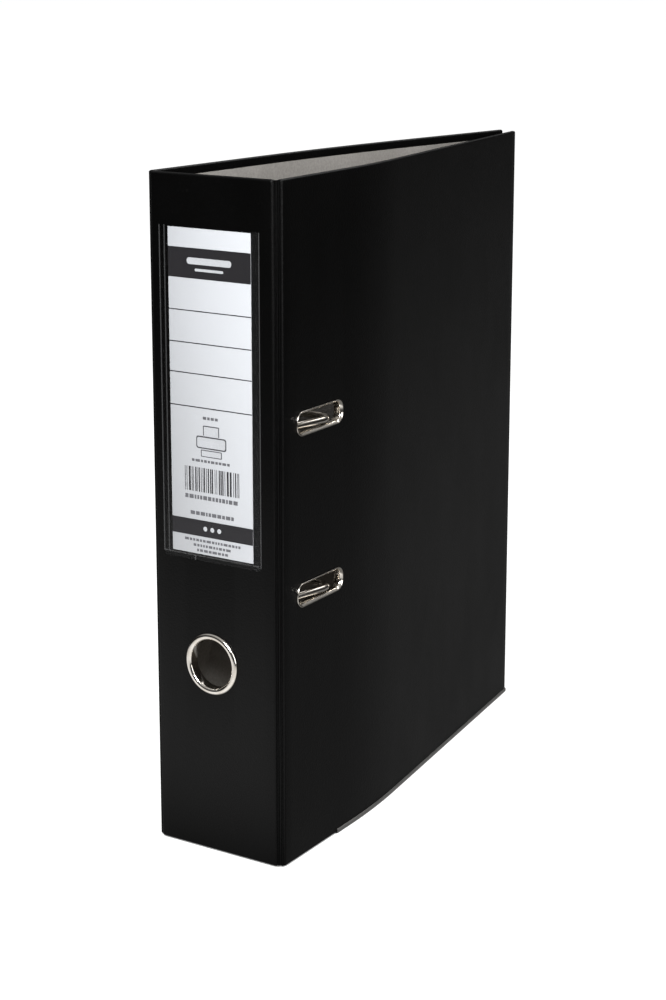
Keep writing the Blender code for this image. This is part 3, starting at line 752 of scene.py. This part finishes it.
def build_covers():
    spine = film_wrap("spine_wrap", spine_place, (-SPINE_EDGE, SPINE_EDGE), (False, False), [ring_hole()])
    placed(spine, "spine", "film", "spine_film")
    openings = []
    for prefix, height in slot_heights():
        profile = [(SLOT_HOLE_GAP, -PAST), (SLOT_HOLE_GAP, THICKNESS + PAST)]
        openings.append(loft(prefix + "_opening", slot_loops(height, profile)))
        slot_eyelet(prefix, height)
    front = film_wrap("front_wrap", front_place, (0.0, COVER_LENGTH), (False, True), openings)
    placed(front, "front_cover", "film", "front_film")
    back = film_wrap("back_wrap", back_place, (0.0, COVER_LENGTH), (False, True), rivet_holes())
    placed(back, "back_cover", "film", "back_film")
    placed(edge_rail("front_rail", front_place), "front_cover", "rail", "front_edge_rail")
    placed(edge_rail("back_rail", back_place), "back_cover", "rail", "back_edge_rail")
    hinge_film("right_hinge_film", 1, "right_hinge_strip")
    hinge_film("left_hinge_film", -1, "left_hinge_strip")
    finger_ring()


# Label pocket: a clear sheet, raised over the card, flat along its margins, ribbed where it is welded on
# the right, and open at the top. Raised beads run along its other welds

POCKET_SHEET = 0.22 * MM
POCKET_RAISED = POCKET_LOW.y + POCKET_SHEET
POCKET_FLAT = -0.10 * MM
POCKET_CORNER = 2.5 * MM
CARD_MARGIN = 1.0 * MM
MARGIN_SLOPE = 0.7 * MM
RIB_START = CARD_HIGH.x + 0.5 * MM
RIB_END = POCKET_HIGH.x - 0.9 * MM
RIB_PITCH = 0.9 * MM
RIB_RISE = 0.16 * MM
RIB_FROST = 0.15
BEAD_HALF = 0.20 * MM
BEAD_RISE = 0.14 * MM
LEFT_BEAD = CARD_LOW.x - 2.2 * MM
FOOT_BEAD = CARD_LOW.z - 0.9 * MM
FOOT_BEAD_END = POCKET_HIGH.x - 1.5 * MM
TAB = -11.0 * MM
TAB_HALF = 1.0 * MM
TAB_LENGTH = 3.2 * MM


def ease(distance, width):
    """A smooth step from 0 to 1 over a width."""
    share = min(max(distance / width, 0.0), 1.0)
    return share * share * (3 - 2 * share)


def weld_rib(x, z):
    """How far up a rib of the right weld a place is, from 0 to 1."""
    if RIB_START < x < RIB_END:
        return 0.5 + 0.5 * math.sin(2 * math.pi * z / RIB_PITCH)
    return 0.0


def weld_bead(x, z):
    """How far up one of the raised weld lines a place is, from 0 to 1."""
    to_lines = (
        max(abs(x - POCKET_LOW.x - BEAD_HALF), FOOT_BEAD - z),
        abs(x - POCKET_HIGH.x + BEAD_HALF),
        max(abs(x - LEFT_BEAD), FOOT_BEAD - z),
        max(abs(z - FOOT_BEAD), x - FOOT_BEAD_END),
        max(abs(x - TAB), z - FOOT_BEAD, FOOT_BEAD - TAB_LENGTH - z),
    )
    return 1 - ease(min(to_lines) - 0.5 * BEAD_HALF, BEAD_HALF)


def pocket_frost(x, z):
    """How milky welding has left the sheet, from 0 to 1."""
    return max(weld_bead(x, z), RIB_FROST * weld_rib(x, z))


def pocket_back(x, z):
    """Where the sheet's back lies: against the spine at the margins, and clear of the card over it."""
    over = min(x - CARD_LOW.x, CARD_HIGH.x - x, z - CARD_LOW.z) + CARD_MARGIN
    return POCKET_FLAT + (POCKET_RAISED - POCKET_FLAT) * ease(over, MARGIN_SLOPE)


def pocket_front(x, z):
    return pocket_back(x, z) - POCKET_SHEET - BEAD_RISE * weld_bead(x, z) - RIB_RISE * weld_rib(x, z)


def pocket_place(x, z):
    """A place on the sheet, pulled in to a radius at the two lower corners."""
    for side, edge in ((-1, POCKET_LOW.x), (1, POCKET_HIGH.x)):
        middle = Vector((edge - side * POCKET_CORNER, POCKET_LOW.z + POCKET_CORNER))
        from_middle = Vector((x, z)) - middle
        outside = from_middle.x * side > 0 and from_middle.y < 0
        if outside and from_middle.length > POCKET_CORNER:
            return middle + from_middle.normalized() * POCKET_CORNER
    return Vector((x, z))


def spaced(start, end, count):
    """Evenly spaced values from the start, leaving out the end."""
    return [start + (end - start) * i / count for i in range(count)]


def pocket_columns():
    """Places across the sheet, close together at the welds and the tab."""
    stretches = (
        (POCKET_LOW.x, CARD_LOW.x, 34),
        (CARD_LOW.x, TAB - TAB_HALF, 4),
        (TAB - TAB_HALF, TAB + TAB_HALF, 12),
        (TAB + TAB_HALF, CARD_HIGH.x, 8),
        (CARD_HIGH.x, POCKET_HIGH.x, 30),
    )
    return [x for stretch in stretches for x in spaced(*stretch)] + [POCKET_HIGH.x]


def pocket_rows():
    """Heights up the sheet: fine at the foot, then three to a rib."""
    above = round((POCKET_HIGH.z - CARD_LOW.z) / (RIB_PITCH / 3))
    rows = spaced(POCKET_LOW.z, CARD_LOW.z, 16) + spaced(CARD_LOW.z, POCKET_HIGH.z, above)
    return rows + [POCKET_HIGH.z]


def join_rows(bm, first, second):
    """Faces between two rows of vertices."""
    for i in range(len(first) - 1):
        bm.faces.new((first[i], first[i + 1], second[i + 1], second[i]))


def label_pocket():
    columns, rows = pocket_columns(), pocket_rows()
    bm = bmesh.new()
    sides = []
    for surface in (pocket_front, pocket_back):
        grid = []
        for z in rows:
            places = [pocket_place(x, z) for x in columns]
            grid.append([bm.verts.new((place.x, surface(*place), place.y)) for place in places])
        sides.append(grid)
    for grid in sides:
        for lower, upper in zip(grid, grid[1:]):
            join_rows(bm, lower, upper)
    front, back = sides
    join_rows(bm, front[0], back[0])
    join_rows(bm, front[-1], back[-1])
    for column in (0, -1):
        join_rows(bm, [row[column] for row in front], [row[column] for row in back])
    pocket = mesh_object("pocket_sheet", bm, LOOKS["clear"], FITTING_SHARP)
    milky = pocket.data.attributes.new("frost", "FLOAT", "POINT")
    for vertex in pocket.data.vertices:
        place = vertex.co - ORIGIN
        milky.data[vertex.index].value = pocket_frost(place.x, place.z)
    placed(pocket, "spine", "pocket", "label_pocket")


# Label print. Its measures are millimetres: heights from the spine's foot, half widths from the middle

BLACK_BANDS = ((271.6, 285.3), (153.0, 160.7))
RULES = (257.0, 242.4, 228.5, 213.2)
RULE_HALF = 0.24
BARCODE_HALF = 15.4
BARCODE_FOOT, BARCODE_TOP = 174.0, 185.4
BAR_WIDTHS = (0.33, 0.33, 0.66, 0.99)
BAR_GAPS = (0.33, 0.66, 0.66, 0.99)
DASH_WIDTHS = (0.9, 2.6)
DASH_GAP = 0.55
LEAST_DASH = 0.4
DOT_OFFSETS = (-4.0, 0.0, 4.0)
DOT_HEIGHT = 156.85
DOT_RADIUS = 1.1

# Lines of small print: half width, height and letter height
SMALL_PRINT = (
    (4.6, 208.6, 1.3),
    (11.2, 188.6, 1.2),
    (15.4, 171.4, 1.9),
    (12.4, 163.8, 1.7),
    (16.0, 151.0, 1.2),
    (11.0, 148.6, 1.2),
    (9.0, 146.3, 1.2),
)

# Rounded shapes: half width, foot, top and corner radius
PRINTER = ((4.6, 200.4, 205.2, 0.5), (8.6, 194.4, 200.2, 1.2), (6.0, 190.6, 193.9, 0.4))
PRINTER_OPENINGS = ((4.1, 200.3, 204.7, 0.3), (8.0, 195.0, 199.6, 0.9), (5.5, 191.0, 193.5, 0.3))
STROKES = ((12.5, 278.0, 281.0, 1.4), (8.0, 275.0, 276.2, 0.55))

# Layers of ink, the second over the first
INK_GAP = 0.004 * MM
INK_THICKNESS = 0.02 * MM
INK_STEP = 0.03 * MM


class Print:
    """Patches of ink on the label card, each a closed thin layer."""

    def __init__(self, name, look):
        self.name = name
        self.look = look
        self.bm = bmesh.new()

    def patch(self, outline, layer=0):
        back = CARD_LOW.y - INK_GAP - layer * INK_STEP
        front = back - INK_THICKNESS
        rows = [[self.bm.verts.new((x * MM, y, z * MM)) for x, z in outline] for y in (back, front)]
        self.bm.faces.new(rows[0])
        self.bm.faces.new(rows[1])
        for i in range(len(outline)):
            j = (i + 1) % len(outline)
            self.bm.faces.new((rows[0][i], rows[0][j], rows[1][j], rows[1][i]))

    def bar(self, left, right, foot, top):
        self.patch([(left, foot), (right, foot), (right, top), (left, top)])

    def rounded(self, middle, half_width, foot, top, radius, layer=0):
        low, high = (middle - half_width, foot), (middle + half_width, top)
        self.patch(rounded_rectangle(low, high, radius, ROUNDING_STEPS), layer)

    def finish(self):
        obj = mesh_object(self.name, self.bm, LOOKS[self.look], PRINT_SHARP)
        placed(obj, "label", "card")


def greeked_line(ink_layer, left, right, z, height, rng):
    """A line of small print, drawn as plain dashes so that it reads as nothing."""
    x = left
    while x < right - LEAST_DASH:
        length = min(rng.uniform(*DASH_WIDTHS), right - x)
        ink_layer.bar(x, x + length, z - height / 2, z + height / 2)
        x += length + DASH_GAP


def label_print():
    left = CARD_LOW.x / MM
    right = CARD_HIGH.x / MM
    middle = (left + right) / 2
    rng = random.Random(4)

    bands = Print("label_bands", "black_ink")
    for foot, top in BLACK_BANDS:
        bands.bar(left, right, foot, top)
    for z in RULES:
        bands.bar(left, right, z - RULE_HALF, z + RULE_HALF)
    bands.finish()

    marks = Print("label_barcode", "black_ink")
    x = middle - BARCODE_HALF
    while x < middle + BARCODE_HALF:
        width = rng.choice(BAR_WIDTHS)
        marks.bar(x, x + width, BARCODE_FOOT, BARCODE_TOP)
        x += width + rng.choice(BAR_GAPS)
    marks.finish()

    small = Print("label_small_print", "pale_ink")
    for half_width, z, height in SMALL_PRINT:
        greeked_line(small, middle - half_width, middle + half_width, z, height, rng)
    small.finish()

    # A plain printer in grey with white openings, two white strokes above it and three dots below
    icon = Print("label_icon", "grey_ink")
    for shape in PRINTER:
        icon.rounded(middle, *shape)
    icon.finish()
    openings = Print("label_icon_paper", "white_ink")
    for shape in (*PRINTER_OPENINGS, *STROKES):
        openings.rounded(middle, *shape, layer=1)
    for offset in DOT_OFFSETS:
        openings.patch(circle((middle + offset, DOT_HEIGHT), DOT_RADIUS), layer=1)
    openings.finish()


# Stage: a pale floor, soft light and the camera

FLOOR_HALF = 30.0
FLOOR_DROP = 0.02 * MM
FLOOR_COLOUR = (0.28, 0.28, 0.28, 1.0)
FLOOR_BOUNCE = (0.62, 0.57, 0.51, 1.0)
FLOOR_AHEAD = 1.1
FLOOR_BEHIND = 0.19
ENCLOSURE_REACH = 0.35
SKY_STOPS = ((0.50, 0.015), (0.62, 0.03), (0.80, 0.36), (1.0, 0.58))

# The camera's place is from the spine's foot, and its angles are in degrees
CAMERA_PLACE = Vector((0.6182, -0.7938, 0.4196))
CAMERA_YAW = -34.83
CAMERA_PITCH = 13.89
CAMERA_LENS = 82.0
CAMERA_SENSOR = 36.0


def floor_material():
    """A pale floor. The camera sees it nearly white, and dim with painted shade where the file encloses
    it. Reflections
    see a painted pool of light on it: bright in front of the spine, fading with distance, and dim behind,
    as a lit table in a dark studio is. Other rays see it glow with a warm painted bounce light."""
    look = Material("floor")
    nodes, links = look.tree.nodes, look.tree.links
    nodes.remove(look.shader)

    diffuse = nodes.new("ShaderNodeBsdfDiffuse")
    diffuse.inputs["Color"].default_value = FLOOR_COLOUR
    # Painted shade: ambient occlusion dims the glow that the camera sees where the file encloses the
    # floor.
    enclosure = nodes.new("ShaderNodeAmbientOcclusion")
    enclosure.inputs["Distance"].default_value = ENCLOSURE_REACH
    openness = look.spread(enclosure.outputs["AO"], low=0.15, high=0.90, from_low=0.12, from_high=0.42)
    seen = nodes.new("ShaderNodeAddShader")
    links.new(diffuse.outputs["BSDF"], seen.inputs[0])
    links.new(look.emission(openness), seen.inputs[1])

    split = nodes.new("ShaderNodeSeparateXYZ")
    links.new(look.coordinates, split.inputs["Vector"])
    across, along = split.outputs["X"], split.outputs["Y"]
    squares = [look.combine("MULTIPLY", value, value) for value in (across, along)]
    distance = look.combine("SQRT", look.combine("ADD", *squares), 0.0)
    # Painted light that only reflections see: bright ahead of the spine and fading, dim behind it.
    ahead = look.spread(distance, low=FLOOR_AHEAD, high=0.02, from_low=0.25, from_high=1.05)
    behind = look.spread(across, low=FLOOR_BEHIND, high=0.01, from_low=0.25, from_high=0.60)
    is_behind = look.spread(along, low=0.0, high=1.0, from_low=-0.21, from_high=-0.13)
    is_ahead = look.combine("SUBTRACT", 1.0, is_behind)
    glow = look.combine(
        "ADD", look.combine("MULTIPLY", ahead, is_ahead), look.combine("MULTIPLY", behind, is_behind)
    )

    # Painted bounce light: a warm glow for all rays that are neither camera nor glossy.
    bounce = nodes.new("ShaderNodeEmission")
    bounce.inputs["Color"].default_value = FLOOR_BOUNCE
    path = nodes.new("ShaderNodeLightPath")
    other = look.mixed(path.outputs["Is Glossy Ray"], bounce.outputs["Emission"], look.emission(glow))
    surface = look.mixed(path.outputs["Is Camera Ray"], other, seen.outputs["Shader"])
    links.new(surface, look.output.inputs["Surface"])
    return look.material


def build_stage():
    bm = bmesh.new()
    corners = ((-1, -1), (1, -1), (1, 1), (-1, 1))
    bm.faces.new([bm.verts.new((x * FLOOR_HALF, y * FLOOR_HALF, -FLOOR_DROP)) for x, y in corners])
    floor = mesh_object("floor", bm, floor_material())


def area_light(name, place, aim, size, power):
    data = bpy.data.lights.new(name, "AREA")
    data.shape = "RECTANGLE"
    data.size, data.size_y = size
    data.energy = power
    obj = bpy.data.objects.new(name, data)
    obj.location = place
    obj.rotation_mode = "QUATERNION"
    obj.rotation_quaternion = (Vector(aim) - Vector(place)).to_track_quat("-Z", "Y")
    bpy.context.scene.collection.objects.link(obj)


def build_lights():
    area_light("key", place=(1.0, -2.0, 1.9), aim=(0, 0, 0.15), size=(1.2, 1.2), power=150)
    area_light("top", place=(0.2, 1.0, 1.7), aim=(0, 0, 0.3), size=(1.2, 1.2), power=12)
    area_light("right", place=(2.2, -0.7, 0.8), aim=(0, 0, 0.15), size=(1.4, 1.4), power=14)
    area_light("side", place=(1.6, 0.1, 0.5), aim=(0, 0, 0.2), size=(1.0, 0.5), power=6)


def build_world():
    """The camera sees plain white. Everything else is lit by a grey sky that brightens upwards."""
    world = bpy.data.worlds.new("studio")
    world.use_nodes = True
    bpy.context.scene.world = world
    nodes, links = world.node_tree.nodes, world.node_tree.links
    nodes.clear()
    direction = nodes.new("ShaderNodeTexCoord")
    split = nodes.new("ShaderNodeSeparateXYZ")
    links.new(direction.outputs["Generated"], split.inputs["Vector"])
    height = nodes.new("ShaderNodeMapRange")
    height.inputs["From Min"].default_value = -1.0
    links.new(split.outputs["Z"], height.inputs["Value"])
    sky = nodes.new("ShaderNodeValToRGB")
    fill_ramp(sky, [(place, (level, level, level)) for place, level in SKY_STOPS])
    links.new(height.outputs["Result"], sky.inputs["Fac"])
    soft = nodes.new("ShaderNodeBackground")
    links.new(sky.outputs["Color"], soft.inputs["Color"])
    seen = nodes.new("ShaderNodeBackground")
    seen.inputs["Color"].default_value = (1, 1, 1, 1)
    path = nodes.new("ShaderNodeLightPath")
    mix = nodes.new("ShaderNodeMixShader")
    links.new(path.outputs["Is Camera Ray"], mix.inputs["Fac"])
    links.new(soft.outputs["Background"], mix.inputs[1])
    links.new(seen.outputs["Background"], mix.inputs[2])
    output = nodes.new("ShaderNodeOutputWorld")
    links.new(mix.outputs["Shader"], output.inputs["Surface"])


def build_camera():
    """The photograph's viewpoint: a longish lens, turned to the left and slightly down."""
    data = bpy.data.cameras.new("camera")
    data.lens = CAMERA_LENS
    data.sensor_width = CAMERA_SENSOR
    data.clip_start = 0.05
    data.clip_end = 100.0
    camera = bpy.data.objects.new("camera", data)
    bpy.context.scene.collection.objects.link(camera)
    yaw, pitch = math.radians(CAMERA_YAW), math.radians(CAMERA_PITCH)
    forward = Vector((math.sin(yaw) * math.cos(pitch), math.cos(yaw) * math.cos(pitch), -math.sin(pitch)))
    right = Vector((math.cos(yaw), -math.sin(yaw), 0.0))
    up = right.cross(forward)
    turn = Matrix((right, up, -forward)).transposed().to_4x4()
    camera.matrix_world = Matrix.Translation(ORIGIN + CAMERA_PLACE) @ turn
    bpy.context.scene.camera = camera


# CAD pieces that are shown as they are: look, rounding of their edges, and nodes

CAD_FINISHES = (
    ("board", 0.2 * MM, ("front_board", "back_board", "spine_board")),
    ("lining", 0.08 * MM, ("front_lining", "back_lining", "spine_lining")),
    ("card", 0.03 * MM, ("label_card",)),
    ("nickel", 0.25 * MM, ("base_plate",)),
    ("nickel", 0.2 * MM, ("lever", "compressor_bar")),
    ("nickel", 0.15 * MM, ("finger_ring_washer", "lower_post", "upper_post", "lever_pivot_pin")),
    ("nickel", 0.12 * MM, ("lower_slot_frame", "upper_slot_frame", "roller_pin")),
    ("nickel", 0.1 * MM, tuple(f"rivet_{number}" for number in RIVETS)),
    ("nickel", 0.08 * MM, ("catch_pin",)),
    ("chrome", 0.0, ("arch_wire",)),
    ("spring", 0.0, ("arch_spring",)),
    ("spring", 0.1 * MM, ("compressor_catch",)),
    ("roller", 0.3 * MM, ("roller",)),
)


def dress_cad():
    for look, bevel, names in CAD_FINISHES:
        for name in names:
            dress_cad_node(name, look, bevel)


build_covers()
label_pocket()
label_print()
dress_cad()
build_stage()
build_lights()
build_world()
build_camera()
bpy.context.scene.view_settings.view_transform = "Standard"
